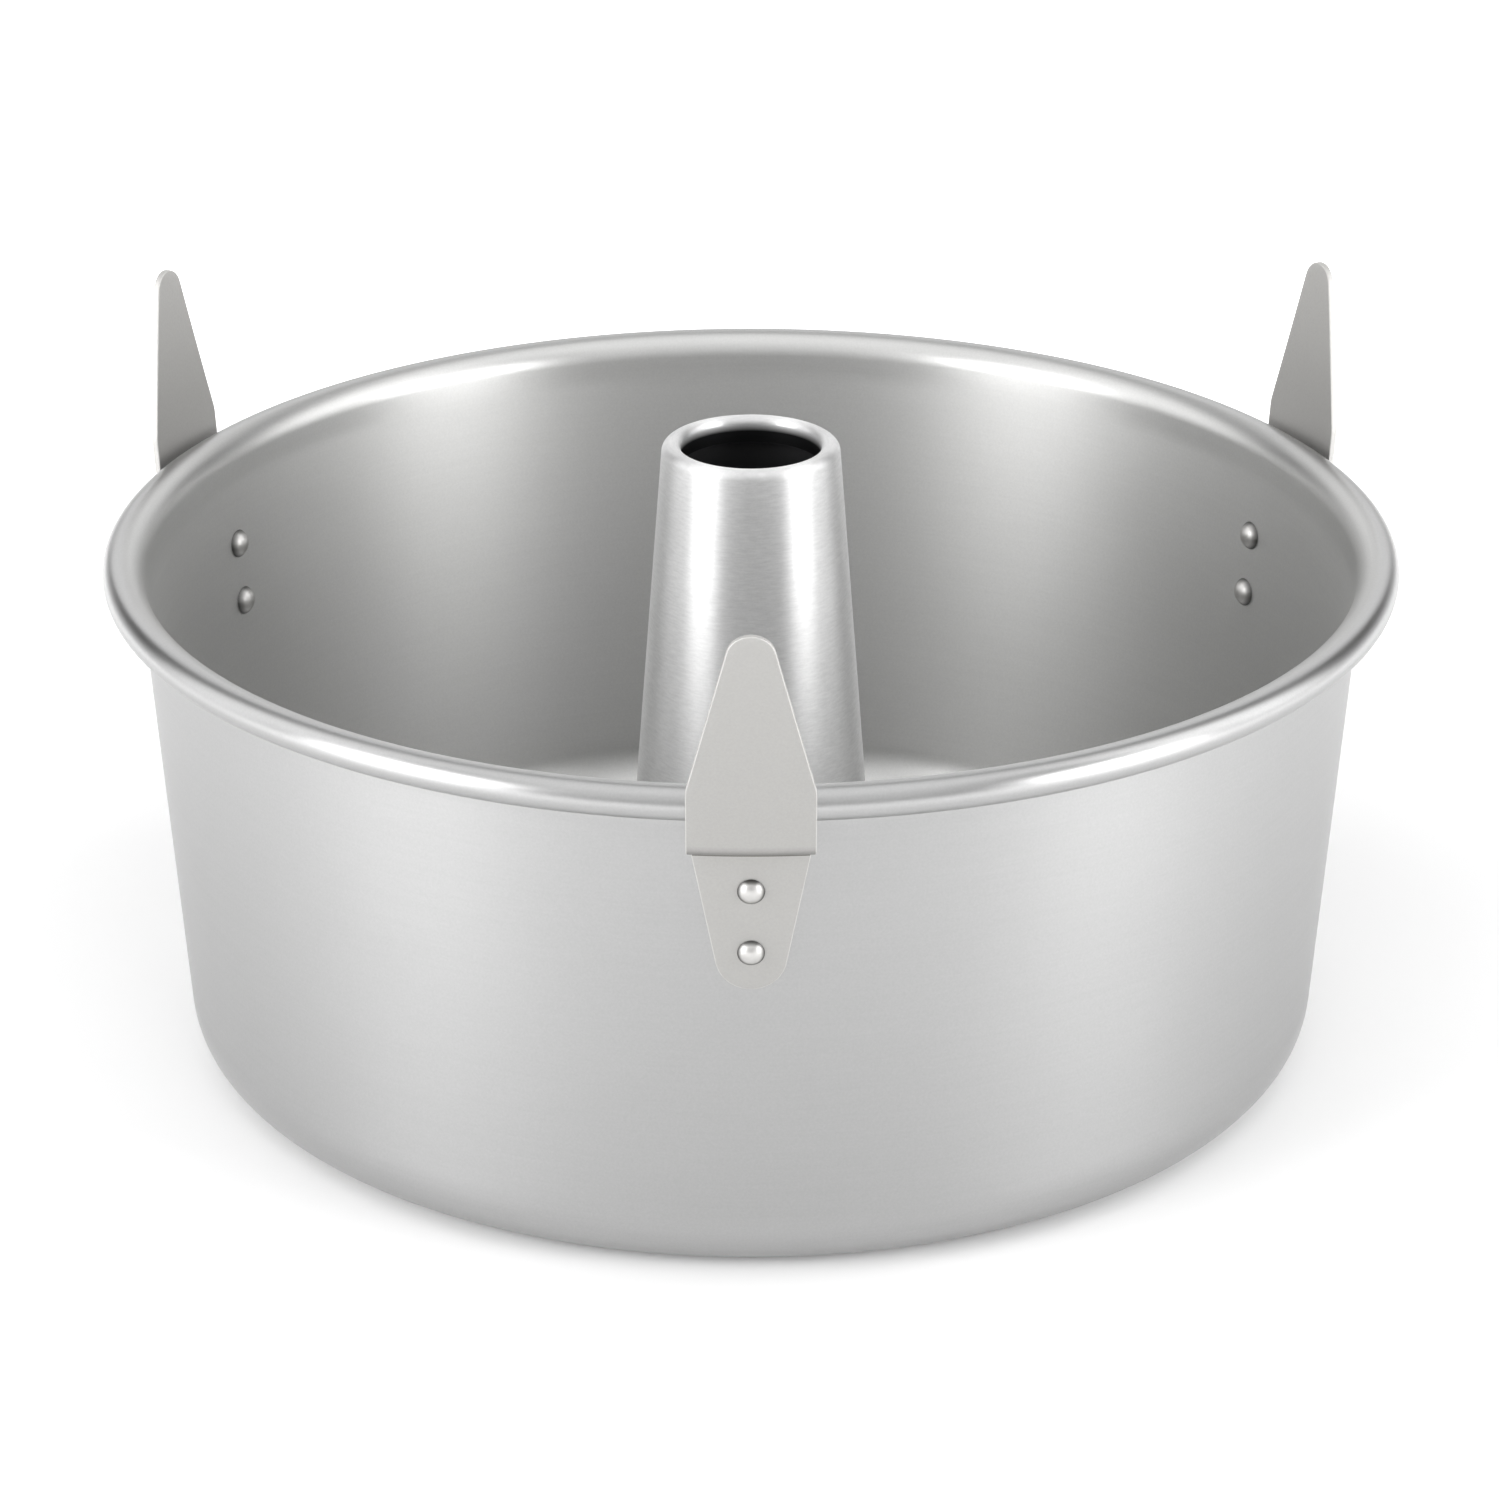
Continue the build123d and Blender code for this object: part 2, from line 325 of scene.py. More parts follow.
def makeMetal(look):
    material, tree = newMaterial(look["name"])
    place = addNode(tree, "ShaderNodeTexCoord").outputs["Object"]
    axes = addNode(tree, "ShaderNodeSeparateXYZ", {0: place}).outputs
    tone, normal = addGrain(tree, look, place)
    if "lineSpacing" in look:
        tone, normal = addLines(tree, look, axes, tone, normal)
    if "edgeShare" in look:
        tone = addCreviceShade(tree, look, tone)
    cloud = addNode(tree, "ShaderNodeTexNoise", {
        "Vector": place, "Scale": 1 / (pattern["cloudSize"] * mm),
        "Detail": pattern["detail"]}).outputs[0]
    rough = spanNoise(tree, cloud, look["roughness"], pattern["cloudReach"])
    if "tones" in look:
        base = addHeightTones(tree, look, axes)
    elif "insideColour" in look:
        base, rough = addInside(tree, look, axes, linearColour(look["colour"]), rough)
    else:
        base = linearColour(look["colour"])[:3]
    if "burnish" in look:
        rough = addBurnish(tree, look, axes, rough)
    colour = addNode(tree, "ShaderNodeVectorMath", {
        0: base, "Scale": tone}, operation="SCALE").outputs[0]
    shader = addNode(tree, "ShaderNodeBsdfPrincipled", {
        "Base Color": colour, "Metallic": 1.0, "Roughness": rough, "Normal": normal})
    if "stretch" in look:  # the glint is drawn out across the turned lines
        tangent = addNode(tree, "ShaderNodeTangent", direction_type="RADIAL", axis="Z")
        tree.links.new(tangent.outputs[0], shader.inputs["Tangent"])
        quarterTurn = 0.25
        shader.inputs["Anisotropic"].default_value = look["stretch"]
        shader.inputs["Anisotropic Rotation"].default_value = quarterTurn
    addNode(tree, "ShaderNodeOutputMaterial", {"Surface": shader.outputs[0]})
    return material


shellMetal = makeMetal(satinShell)
baseMetal = makeMetal(satinBase)
tubeMetal = makeMetal(turnedTube)
boreMetal = makeMetal(boreShade)
footMetals = [makeMetal(look) for look in (blastedFoot, shearedEdge, foldShade)]
rivetMetal = makeMetal(punchedRivet)
print("metals made")


# Geometry Nodes that spin a closed section about the pan's axis

def makeSpinTree():
    tree = bpy.data.node_groups.new("spinSection", "GeometryNodeTree")
    face = tree.interface
    face.new_socket("Section", in_out="INPUT", socket_type="NodeSocketGeometry")
    face.new_socket("Rail Radius", in_out="INPUT", socket_type="NodeSocketFloat")
    face.new_socket("Steps Round", in_out="INPUT", socket_type="NodeSocketInt")
    face.new_socket("Metal", in_out="INPUT", socket_type="NodeSocketMaterial")
    face.new_socket("Spun Sheet", in_out="OUTPUT", socket_type="NodeSocketGeometry")
    entry = addNode(tree, "NodeGroupInput").outputs
    profile = addNode(tree, "GeometryNodeMeshToCurve", {"Mesh": entry["Section"]})
    rail = addNode(tree, "GeometryNodeCurvePrimitiveCircle", {
        "Resolution": entry["Steps Round"], "Radius": entry["Rail Radius"]}, mode="RADIUS")
    spun = addNode(tree, "GeometryNodeCurveToMesh", {
        "Curve": rail.outputs["Curve"], "Profile Curve": profile.outputs["Curve"]})
    smooth = addNode(tree, "GeometryNodeSetShadeSmooth", {"Geometry": spun.outputs["Mesh"]})
    real = addNode(tree, "GeometryNodeRealizeInstances", {"Geometry": smooth.outputs["Geometry"]})
    metal = addNode(tree, "GeometryNodeSetMaterial", {
        "Geometry": real.outputs["Geometry"], "Material": entry["Metal"]})
    addNode(tree, "NodeGroupOutput", {"Spun Sheet": metal.outputs["Geometry"]})
    return tree


spinTree = makeSpinTree()
railRadius = 100 * mm  # of the ring that carries the section round; any radius gives the same shape


def spinSheet(name, front, back, metal, stepsRound=192):
    loop = front + list(reversed(back))
    verts = [(p.x - railRadius, -p.y, 0) for p in loop]
    edges = [(i, (i + 1) % len(loop)) for i in range(len(loop))]
    piece = newPiece(name, verts, edges)
    applyTree(piece, spinTree, {
        "Rail Radius": railRadius, "Steps Round": stepsRound, "Metal": metal})
    turnOutwards(piece)
    return piece


# Shell

shell = {
    "rimRadius": 135 * mm,
    "rimHeight": 107.2 * mm,
    "rollRadius": 3.4 * mm,
    "rollSweep": 225,
    "rimOverhang": 8.26 * mm,
    "taper": 4.26,
    "gauge": 1.2 * mm,
    "cornerRadius": 10.8 * mm,
    "ledgeWidth": 8.0 * mm,
    "ledgeStep": 2 * mm,  # between the points that are drawn
    "wallStep": 4 * mm,
    "rollStep": 9,
}
wallLean = radians(shell["taper"])


def wallInside(z):
    crest = shell["rimHeight"] + shell["rollRadius"]
    return shell["rimRadius"] - shell["rimOverhang"] + (z - crest) * tan(wallLean)


def wallOutside(z):
    return wallInside(z) + shell["gauge"] / cos(wallLean)


def shellSide(inset):
    s = shell
    rollCentre = (s["rimRadius"] - s["rollRadius"], s["rimHeight"])
    crestReach = rollCentre[0] - wallInside(s["rimHeight"] + s["rollRadius"])
    crestRadius = crestReach / (1 / cos(wallLean) - tan(wallLean))
    cornerHeight = s["gauge"] + s["cornerRadius"]
    corner = (wallInside(cornerHeight) - s["cornerRadius"] / cos(wallLean), cornerHeight)
    crest = (rollCentre[0], s["rimHeight"] + s["rollRadius"] - crestRadius)
    ledgeEnd = (corner[0] - s["ledgeWidth"], s["gauge"] - inset)
    ledge = linePoints(ledgeEnd, (corner[0], s["gauge"] - inset), s["ledgeStep"])
    bend = arcPoints(corner, s["cornerRadius"] + inset, -90, 90 - s["taper"])
    lip = arcPoints(crest, crestRadius - inset, 180 - s["taper"], s["taper"] - 90)
    roll = arcPoints(rollCentre, s["rollRadius"] - inset, 90, -s["rollSweep"], s["rollStep"])
    wall = linePoints(bend[-1], lip[0], s["wallStep"])
    return joinRuns(ledge, bend, wall, lip, roll)


panShell = spinSheet("spunShell", shellSide(0), shellSide(shell["gauge"]), shellMetal)
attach(panShell, "shell")
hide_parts("pan_shell")
print("shell", len(panShell.data.polygons), [round(v / mm, 2) for v in panShell.dimensions])


# Centre tube

tube = {
    "height": 130.7 * mm,
    "gauge": 1.0 * mm,
    "taper": 4.41,
    "boreRadius": 14.7 * mm,
    "lipWidth": 3.8 * mm,
    "shoulderRadius": 1.9 * mm,
    "throatRadius": 1.3 * mm,
    "lipDepth": 4.0 * mm,
    "flangeWidth": 6.0 * mm,
    "flangeBend": 0.4 * mm,
    "beadReach": 1.2 * mm,
    "beadRise": 2.2 * mm,
    "beadRadius": 1.2 * mm,
    "beadClearance": 0.2 * mm,
}
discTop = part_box("base_disc")[1].z
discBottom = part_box("base_disc")[0].z


def tubeSides():
    t = tube
    lean = radians(t["taper"])
    foot = t["boreRadius"] + t["lipWidth"] + t["height"] * tan(lean)
    bead = discTop + t["beadClearance"]
    beadTop = bead + 2 * t["beadRise"]
    points = (
        (foot + t["flangeWidth"], discBottom),
        (foot, discBottom),
        (foot, bead),
        (foot + t["beadReach"], bead + t["beadRise"]),
        (foot - beadTop * tan(lean), beadTop),
        (t["boreRadius"] + t["lipWidth"], t["height"]),
        (t["boreRadius"], t["height"]),
        (t["boreRadius"], t["height"] - t["throatRadius"] - t["lipDepth"]),
    )
    bends = (t["flangeBend"], t["beadRadius"] / 2, t["beadRadius"], t["beadRadius"] / 2,
             t["shoulderRadius"], t["throatRadius"])
    return bentSides(points, bends, t["gauge"])


def darkenBore(piece):  # painted shade: the faces that look at the axis, below the rounded mouth, get the dark bore tones
    piece.data.materials.append(boreMetal)
    boreIndex = len(piece.data.materials) - 1
    for face in piece.data.polygons:
        towardsAxis = face.normal.xy.dot(face.center.xy) < 0
        if towardsAxis and face.center.z < tube["height"] - tube["throatRadius"]:
            face.material_index = boreIndex


centreTube = spinSheet("taperedTube", *tubeSides(), tubeMetal, stepsRound=128)
darkenBore(centreTube)
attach(centreTube, "insert")
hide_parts("centre_tube")
print("tube", len(centreTube.data.polygons), [round(v / mm, 2) for v in centreTube.dimensions])


# Base disc keeps its own shape

def dressNode(name, metal):
    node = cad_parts[name]
    node.data.materials.clear()
    node.data.materials.append(metal)


dressNode("base_disc", baseMetal)
print("base disc dressed")


# Feet: one strip of sheet with two bends, cut to an outline and given a rounded edge

foot = {
    "gauge": 1.3 * mm,
    "seatGap": 0.1 * mm,
    "creaseReach": 2.95 * mm,
    "creaseDrop": 7.75 * mm,
    "creaseBend": 2.4 * mm,
    "stepDrop": 11.9 * mm,
    "stepBend": 0.8 * mm,
    "tipRise": 41.1 * mm,
    "tipRadius": 4.6 * mm,
    "shoulderRise": 6.3 * mm,
    "halfWidth": 12.2 * mm,
    "shoulderRadius": 8.0 * mm,
    "waistRadius": 3.0 * mm,
    "tabDrop": 41.2 * mm,
    "tabRadius": 6.9 * mm,
    "edgeRadius": 0.2 * mm,
    "edgeSteps": 4,
    "bandOverrun": 2 * mm,  # how far the strip runs past the outline's ends
    "columnGap": 2 * mm,  # between the upright cuts, so that the faces follow the rim's round
    "sideStep": (2 * mm, 5),
    "tipStep": 10,
    "tabStep": 8,
    "foldShadeSpan": (-12.4 * mm, -8.35 * mm),  # height of the fold's painted shade, from the roll's centre
    "azimuth": {"front": 270, "rear_right": 27.8, "rear_left": 154.7},
    "splay": {"front": 14, "rear_right": 4, "rear_left": 4},
}
faceMetal, edgeMetal, foldMetal = 0, 1, 2  # places in footMetals


def footBand(splay):  # both faces of the bent strip, from the tab's end up to the tip
    f = foot
    level = shell["rimHeight"]
    skin = f["seatGap"] + f["gauge"] / cos(wallLean)
    crease = shell["rimRadius"] + f["creaseReach"]
    low, step = level - f["tabDrop"] - f["bandOverrun"], level - f["stepDrop"]
    bend, top = level - f["creaseDrop"], level + f["tipRise"] + f["bandOverrun"]
    points = (
        (wallOutside(low) + skin, low),
        (wallOutside(step) + skin, step),
        (crease, bend),
        (crease + (top - bend) * tan(radians(splay)), top),
    )
    return bentSides(points, (f["stepBend"], f["creaseBend"]), f["gauge"])


def reachAt(line, height):
    index = next(i for i, p in enumerate(line) if p.y > height) - 1
    low, high = line[index], line[index + 1]
    return low.lerp(high, (height - low.y) / (high.y - low.y)).x


def tangentPoint(outside, centre, radius, side):  # where a line from a point touches a circle
    way = outside - centre
    turn = side * atan2(sqrt(way.length_squared - radius ** 2), radius)
    spoke = way.normalized() * radius
    return centre + Vector((
        spoke.x * cos(turn) - spoke.y * sin(turn), spoke.x * sin(turn) + spoke.y * cos(turn)))


def footOutline():  # the whole outline, clockwise from the tip, seen from outside
    f = foot
    level = shell["rimHeight"]
    tip = Vector((0, level + f["tipRise"] - f["tipRadius"]))
    tab = Vector((0, level - f["tabDrop"] + f["tabRadius"]))
    shoulder = Vector((f["halfWidth"], level + f["shoulderRise"]))
    crease = Vector((f["halfWidth"], level - f["creaseDrop"]))
    upper = tangentPoint(shoulder, tip, f["tipRadius"], 1)
    lower = tangentPoint(crease, tab, f["tabRadius"], -1)
    upperTurn = degrees(atan2(upper.y - tip.y, upper.x))
    lowerTurn = degrees(atan2(lower.y - tab.y, lower.x))
    bends = (f["shoulderRadius"], f["waistRadius"])
    half = joinRuns(
        arcPoints(tip, f["tipRadius"], 90, upperTurn - 90, f["tipStep"]),
        roundCorners((upper, shoulder, crease, lower), bends, *f["sideStep"]),
        arcPoints(tab, f["tabRadius"], lowerTurn, -90 - lowerTurn, f["tabStep"]))
    other = [Vector((-p.x, p.y)) for p in reversed(half[1:-1])]
    return half + other


def outlineNormals(loop):
    around = zip(loop[-1:] + loop[:-1], loop[1:] + loop[:1])
    return [Vector((a.y - b.y, b.x - a.x)).normalized() for a, b in around]


def walkBorder(work):  # the blank's outer points, in their order round it
    start = next(v for v in work.verts if v.is_boundary)
    border, walked = [start], {start}
    while True:
        ahead = [e.other_vert(border[-1]) for e in border[-1].link_edges if e.is_boundary]
        ahead = [v for v in ahead if v not in walked]
        if not ahead:
            return [v.index for v in border]
        border.append(ahead[0])
        walked.add(ahead[0])


def cutBlank(outline, levels):  # the flat outline, cut so that its faces can follow the bends
    columns = int(foot["halfWidth"] / foot["columnGap"])
    places = [i * foot["columnGap"] for i in range(-columns, columns + 1)]
    cuts = [((0, y, 0), (0, 1, 0)) for y in levels] + [((x, 0, 0), (1, 0, 0)) for x in places]
    work = bmesh.new()
    work.faces.new([work.verts.new((p.x, p.y, 0)) for p in outline])
    for place, way in cuts:
        parts = work.verts[:] + work.edges[:] + work.faces[:]
        bmesh.ops.bisect_plane(work, geom=parts, dist=cutGap, plane_co=place, plane_no=way)
    work.verts.ensure_lookup_table()
    flat = [Vector((v.co.x, v.co.y)) for v in work.verts]
    faces = [[v.index for v in f.verts] for f in work.faces]
    border = walkBorder(work)
    work.free()
    return flat, faces, border


def edgeRounds():  # each line of the rounded edge: how far out, and the share of the gauge
    edge, count = foot["edgeRadius"], foot["edgeSteps"]
    turns = [radians(90 * i / count) for i in range(1, count + 1)]
    near = [(edge * sin(a), edge * (1 - cos(a)) / foot["gauge"]) for a in turns]
    return near + [(reach, 1 - share) for reach, share in reversed(near)]


def makeFoot(name, azimuth, splay):
    front, back = footBand(splay)
    whole = footOutline()
    outline = [p - n * foot["edgeRadius"] for p, n in zip(whole, outlineNormals(whole))]
    low, high = min(p.y for p in outline), max(p.y for p in outline)
    flat, faces, border = cutBlank(outline, [p.y for p in front + back if low < p.y < high])
    turn = radians(azimuth)

    def place(point, share):  # share of the way from the outer face to the inner one
        outer, inner = reachAt(front, point.y), reachAt(back, point.y)
        reach = outer + (inner - outer) * share
        x, y = sqrt(reach ** 2 - point.x ** 2), point.x
        return (x * cos(turn) - y * sin(turn), x * sin(turn) + y * cos(turn), point.y)

    loop = [flat[i] for i in border]
    ways = outlineNormals(loop)
    if sum(n.dot(p - loop[0]) for n, p in zip(ways, loop)) < 0:
        ways = [-n for n in ways]
    verts = [place(p, 0) for p in flat] + [place(p, 1) for p in flat]
    rings = [border]
    for reach, share in edgeRounds():
        rings.append(list(range(len(verts), len(verts) + len(loop))))
        verts += [place(p + n * reach, share) for p, n in zip(loop, ways)]
    rings.append([i + len(flat) for i in border])
    backFaces = [[i + len(flat) for i in reversed(face)] for face in faces]
    edgeFaces = []
    for near, far in zip(rings, rings[1:]):
        edgeFaces += [[a, b, d, c] for a, b, c, d in zip(
            near, near[1:] + near[:1], far, far[1:] + far[:1])]
    piece = newPiece(name, verts, [], faces + backFaces + edgeFaces)

    # the faces of the fold's underside get the painted shade
    foldLow, foldHigh = [shell["rimHeight"] + rise for rise in foot["foldShadeSpan"]]
    folded = [all(foldLow < flat[i].y < foldHigh for i in face) for face in faces]
    places = [foldMetal if shaded else faceMetal for shaded in folded]
    places += [faceMetal] * len(backFaces) + [edgeMetal] * len(edgeFaces)
    for metal in footMetals:
        piece.data.materials.append(metal)
    for face, index in zip(piece.data.polygons, places):
        face.material_index = index
    turnOutwards(piece, sharpAngle=60)
    return piece


for side in foot["azimuth"]:
    bentFoot = makeFoot("bentFoot_" + side, foot["azimuth"][side], foot["splay"][side])
    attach(bentFoot, "shell")
    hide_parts("foot_" + side)
    print(bentFoot.name, len(bentFoot.data.polygons), [round(v / mm, 2) for v in bentFoot.dimensions])


# Rivets, set by Geometry Nodes on points along the wall, one pair for each foot

rivet = {
    "drops": (19.8 * mm, 33.05 * mm),
    "shankRadius": 1.6 * mm,
    "outerRadius": 2.65 * mm,
    "outerHeight": 1.5 * mm,
    "innerRadius": 3.1 * mm,
    "innerHeight": 1.9 * mm,
    "seatGap": 0.1 * mm,
    "stepsRound": 40,
    "rings": 12,
}


def addDome(tree, entry, side, sign):  # a round cap of a ball, on its flat underside
    radius, ball = entry[side + " Radius"], entry[side + " Ball"]
    cone = addNode(tree, "GeometryNodeMeshCone", {
        "Vertices": entry["Steps Round"], "Side Segments": entry["Rings"], "Fill Segments": 1,
        "Radius Top": 0.0, "Radius Bottom": radius, "Depth": 1.0}, fill_type="NGON")
    place = addNode(tree, "GeometryNodeInputPosition").outputs[0]
    parts = addNode(tree, "ShaderNodeSeparateXYZ", {0: place}).outputs
    flat = addNode(tree, "ShaderNodeCombineXYZ", {"X": parts["X"], "Y": parts["Y"]}).outputs[0]
    reach = addNode(tree, "ShaderNodeVectorMath", {
        0: flat, 1: flat}, operation="DOT_PRODUCT").outputs["Value"]
    square = addNode(tree, "ShaderNodeMath", {0: ball, 1: ball}, operation="MULTIPLY").outputs[0]
    square = addNode(tree, "ShaderNodeMath", {0: square, 1: reach}, operation="SUBTRACT").outputs[0]
    rise = addNode(tree, "ShaderNodeMath", {0: square}, operation="SQRT").outputs[0]
    level = addNode(tree, "ShaderNodeMath", {
        0: rise, 1: entry[side + " Centre"]}, operation="ADD").outputs[0]
    level = addNode(tree, "ShaderNodeMath", {0: level, 1: sign}, operation="MULTIPLY").outputs[0]
    moved = addNode(tree, "ShaderNodeCombineXYZ", {
        "X": parts["X"], "Y": parts["Y"], "Z": level}).outputs[0]
    marked = addNode(tree, "GeometryNodeStoreNamedAttribute", {
        "Geometry": cone.outputs["Mesh"], "Name": "headShare", "Value": parts["Z"]}).outputs[0]
    return addNode(tree, "GeometryNodeSetPosition", {
        "Geometry": marked, "Position": moved}).outputs[0]


def addShank(tree, entry):
    shank = addNode(tree, "GeometryNodeMeshCylinder", {
        "Vertices": entry["Steps Round"], "Radius": entry["Shank Radius"],
        "Depth": entry["Shank Length"]})
    middle = addNode(tree, "ShaderNodeCombineXYZ", {"Z": entry["Shank Middle"]}).outputs[0]
    return addNode(tree, "GeometryNodeTransform", {
        "Geometry": shank.outputs["Mesh"], "Translation": middle}).outputs[0]


def makeRivetTree():
    tree = bpy.data.node_groups.new("setRivets", "GeometryNodeTree")
    face = tree.interface
    face.new_socket("Seats", in_out="INPUT", socket_type="NodeSocketGeometry")
    for name in ("Shank Radius", "Shank Length", "Shank Middle", "Outer Radius", "Outer Ball",
                 "Outer Centre", "Inner Radius", "Inner Ball", "Inner Centre"):
        face.new_socket(name, in_out="INPUT", socket_type="NodeSocketFloat")
    face.new_socket("Steps Round", in_out="INPUT", socket_type="NodeSocketInt")
    face.new_socket("Rings", in_out="INPUT", socket_type="NodeSocketInt")
    face.new_socket("Metal", in_out="INPUT", socket_type="NodeSocketMaterial")
    face.new_socket("Rivets", in_out="OUTPUT", socket_type="NodeSocketGeometry")
    entry = addNode(tree, "NodeGroupInput").outputs
    whole = addNode(tree, "GeometryNodeJoinGeometry")
    for part in (addDome(tree, entry, "Outer", 1.0), addDome(tree, entry, "Inner", -1.0),
                 addShank(tree, entry)):
        tree.links.new(part, whole.inputs[0])
    way = addNode(tree, "GeometryNodeInputNamedAttribute", {
        "Name": "outward"}, data_type="FLOAT_VECTOR")
    turn = addNode(tree, "FunctionNodeAlignRotationToVector", {"Vector": way.outputs[0]}, axis="Z")
    placed = addNode(tree, "GeometryNodeInstanceOnPoints", {
        "Points": entry["Seats"], "Instance": whole.outputs[0], "Rotation": turn.outputs[0]})
    real = addNode(tree, "GeometryNodeRealizeInstances", {"Geometry": placed.outputs[0]})
    metal = addNode(tree, "GeometryNodeSetMaterial", {
        "Geometry": real.outputs["Geometry"], "Material": entry["Metal"]})
    addNode(tree, "NodeGroupOutput", {"Rivets": metal.outputs["Geometry"]})
    return tree


def headSizes(side, radius, height, seat):  # the ball whose cap is the head, and its centre
    ball = (radius ** 2 + height ** 2) / (2 * height)
    return {side + " Radius": radius, side + " Ball": ball, side + " Centre": seat + height - ball}


def makeRivets():
    seats, ways = [], []
    for azimuth in foot["azimuth"].values():
        for drop in rivet["drops"]:
            a, z = radians(azimuth), shell["rimHeight"] - drop
            seats.append((wallOutside(z) * cos(a), wallOutside(z) * sin(a), z))
            ways.append((cos(wallLean) * cos(a), cos(wallLean) * sin(a), -sin(wallLean)))
    piece = newPiece("wallRivets", seats)
    outward = piece.data.attributes.new("outward", "FLOAT_VECTOR", "POINT")
    for item, way in zip(outward.data, ways):
        item.vector = way
    outerSeat = foot["seatGap"] + foot["gauge"] + rivet["seatGap"]
    innerSeat = shell["gauge"] + rivet["seatGap"]
    applyTree(piece, makeRivetTree(), {
        **headSizes("Outer", rivet["outerRadius"], rivet["outerHeight"], outerSeat),
        **headSizes("Inner", rivet["innerRadius"], rivet["innerHeight"], innerSeat),
        "Shank Radius": rivet["shankRadius"],
        "Shank Length": outerSeat + innerSeat,
        "Shank Middle": (outerSeat - innerSeat) / 2,
        "Steps Round": rivet["stepsRound"],
        "Rings": rivet["rings"],
        "Metal": rivetMetal,
    })
    turnOutwards(piece)
    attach(piece, "shell")
    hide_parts(*[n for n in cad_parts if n.startswith("rivet_")])
    print("rivets", len(piece.data.polygons), [round(v / mm, 2) for v in piece.dimensions])


makeRivets()


# Surroundings: a white paper floor that glows more with the distance, so that it meets the white
# haze of the world at the horizon

backdrop = {
    "paper": "#ECECEC",
    "paperReach": 15.0,  # half the floor's width, in metres
    "paperLevel": -0.05 * mm,
    "nearGlow": 0.10,
    "farGlow": 1.0,
    "glowReach": (0.15, 0.7),
    "fog": 0.75,
    "fogHeight": (0.06, 0.24),
    "room": 0.06,
}


def seenRays(tree):  # rays of the camera, and those that metal or glass sends on
    path = addNode(tree, "ShaderNodeLightPath").outputs
    seen = addNode(tree, "ShaderNodeMath", {
        0: path["Is Camera Ray"], 1: path["Is Glossy Ray"]}, operation="ADD").outputs[0]
    return addNode(tree, "ShaderNodeMath", {
        0: seen, 1: path["Is Transmission Ray"]}, operation="ADD", use_clamp=True).outputs[0]


def makeFloor():
    material, tree = newMaterial("whitePaperFloor")
    place = addNode(tree, "ShaderNodeTexCoord").outputs["Object"]
    away = addNode(tree, "ShaderNodeVectorMath", {0: place}, operation="LENGTH").outputs["Value"]
    start, end = backdrop["glowReach"]
    glow = addNode(tree, "ShaderNodeMapRange", {
        "Value": away, "From Min": start, "From Max": end, "To Min": backdrop["nearGlow"],
        "To Max": backdrop["farGlow"]}, interpolation_type="SMOOTHSTEP").outputs[0]
    glow = addNode(tree, "ShaderNodeMath", {
        0: seenRays(tree), 1: glow}, operation="MULTIPLY").outputs[0]
    paper = addNode(tree, "ShaderNodeBsdfDiffuse", {"Color": linearColour(backdrop["paper"])})
    light = addNode(tree, "ShaderNodeEmission", {"Color": (1, 1, 1, 1), "Strength": glow})
    both = addNode(tree, "ShaderNodeAddShader", {0: paper.outputs[0], 1: light.outputs[0]})
    addNode(tree, "ShaderNodeOutputMaterial", {"Surface": both.outputs[0]})
    reach, level = backdrop["paperReach"], backdrop["paperLevel"]
    ends = ((-reach, -reach), (reach, -reach), (reach, reach), (-reach, reach))
    floor = newPiece("paperFloor", [(x, y, level) for x, y in ends], [], [(0, 1, 2, 3)])
    floor.data.materials.append(material)


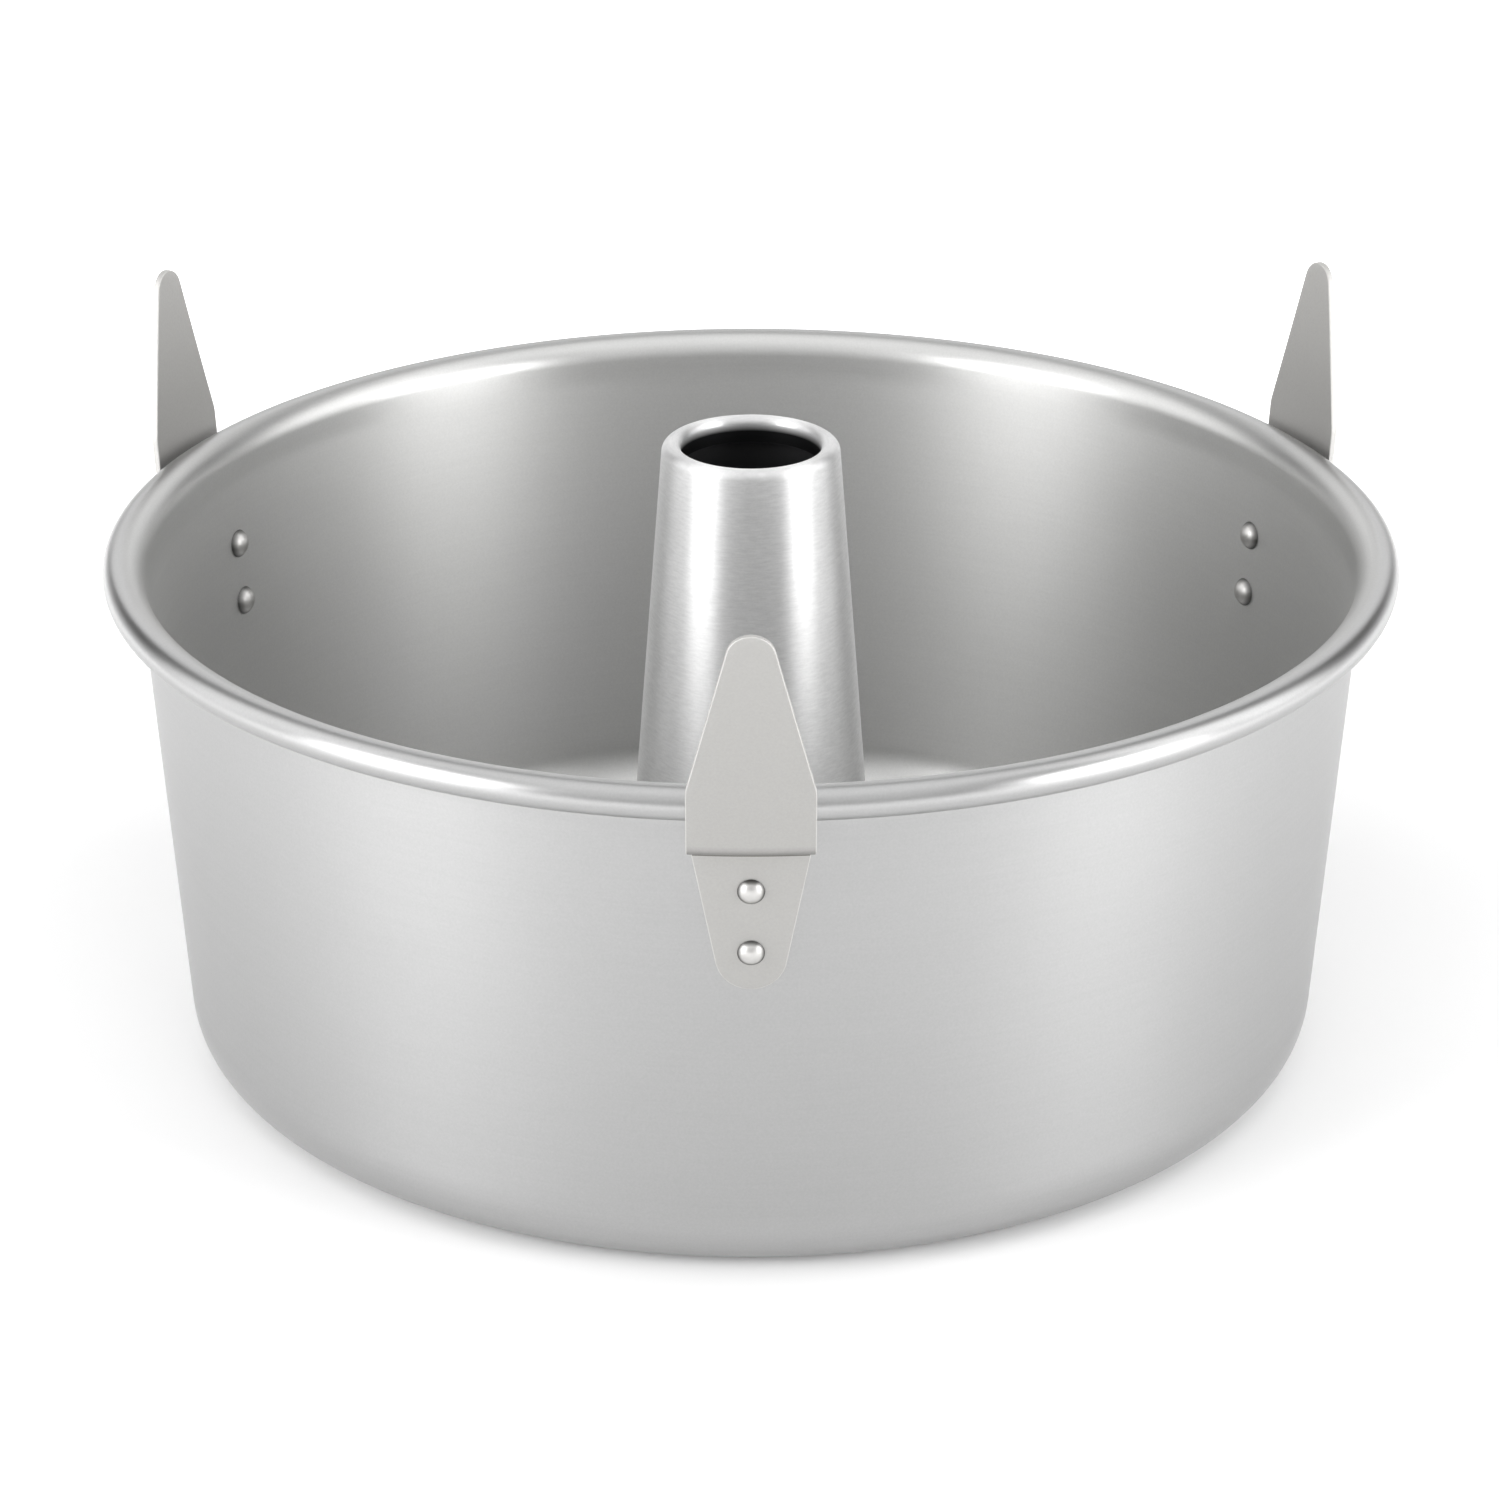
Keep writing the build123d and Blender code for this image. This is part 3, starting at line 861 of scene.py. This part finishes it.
def makeWorld():  # a white haze low over the floor, in a dim room
    world = bpy.data.worlds.new("studio")
    bpy.context.scene.world = world
    world.use_nodes = True
    tree = world.node_tree
    tree.nodes.clear()
    way = addNode(tree, "ShaderNodeTexCoord").outputs["Generated"]
    height = addNode(tree, "ShaderNodeSeparateXYZ", {0: way}).outputs["Z"]
    start, end = backdrop["fogHeight"]
    haze = addNode(tree, "ShaderNodeMapRange", {
        "Value": height, "From Min": start, "From Max": end, "To Min": backdrop["fog"],
        "To Max": 0.0}, interpolation_type="SMOOTHSTEP").outputs[0]
    haze = addNode(tree, "ShaderNodeMath", {
        0: seenRays(tree), 1: haze}, operation="MULTIPLY").outputs[0]
    glow = addNode(tree, "ShaderNodeMath", {
        0: haze, 1: backdrop["room"]}, operation="ADD").outputs[0]
    light = addNode(tree, "ShaderNodeBackground", {"Color": (1, 1, 1, 1), "Strength": glow})
    addNode(tree, "ShaderNodeOutputWorld", {"Surface": light.outputs[0]})


makeFloor()
makeWorld()
print("floor and world made")


# Lamps: large soft panels that all look at the middle of the pan. Azimuth and height are angles,
# and azimuth 0 is the camera's side.

lamps = {
    "leftKey": {"azimuth": -58, "height": 18, "size": (0.8, 0.9), "power": 16},
    "rightKey": {"azimuth": 62, "height": 16, "size": (0.7, 0.8), "power": 13.3},
    "leftFill": {"azimuth": -100, "height": 32, "size": (0.8, 1.5), "power": 6.4},
    "rightFill": {"azimuth": 98, "height": 32, "size": (0.7, 1.5), "power": 7.4},
    "front": {"azimuth": 0, "height": 38, "size": (1.8, 1.1), "power": 6.3},
    "back": {"azimuth": 180, "height": 28, "size": (1.8, 0.8), "power": 5.8},
    "topPanel": {"azimuth": 0, "height": 89, "size": (1.8, 1.8), "power": 14},
}
lampDistance = 1.5
lampTarget = Vector((0, 0, 80 * mm))


def addLamp(name, azimuth, height, size, power):
    light = bpy.data.lights.new(name, "AREA")
    light.shape = "RECTANGLE"
    light.size, light.size_y = size
    light.energy = power
    lamp = bpy.data.objects.new(name, light)
    bpy.context.scene.collection.objects.link(lamp)
    a, e = radians(azimuth), radians(height)
    way = Vector((sin(a) * cos(e), -cos(a) * cos(e), sin(e)))
    lamp.location = lampTarget + way * lampDistance
    lamp.rotation_mode = "QUATERNION"
    lamp.rotation_quaternion = way.to_track_quat("Z", "Y")
    lamp.visible_camera = False


for name, values in lamps.items():
    addLamp(name, **values)
print("lamps", len(lamps))


# Camera, 24 degrees above level and 1.1 m away, as in the photograph

camera = {"lens": 123.71, "sensor": 36, "place": (-0.0002, -1.00788, 0.49864), "pitch": 66.528}

eye = bpy.data.objects.new("camera", bpy.data.cameras.new("camera"))
bpy.context.scene.collection.objects.link(eye)
eye.data.sensor_width = camera["sensor"]
eye.data.lens = camera["lens"]
eye.location = camera["place"]
eye.rotation_euler = (radians(camera["pitch"]), 0, 0)
bpy.context.scene.camera = eye
bpy.context.scene.view_settings.view_transform = "Standard"
print("camera placed")
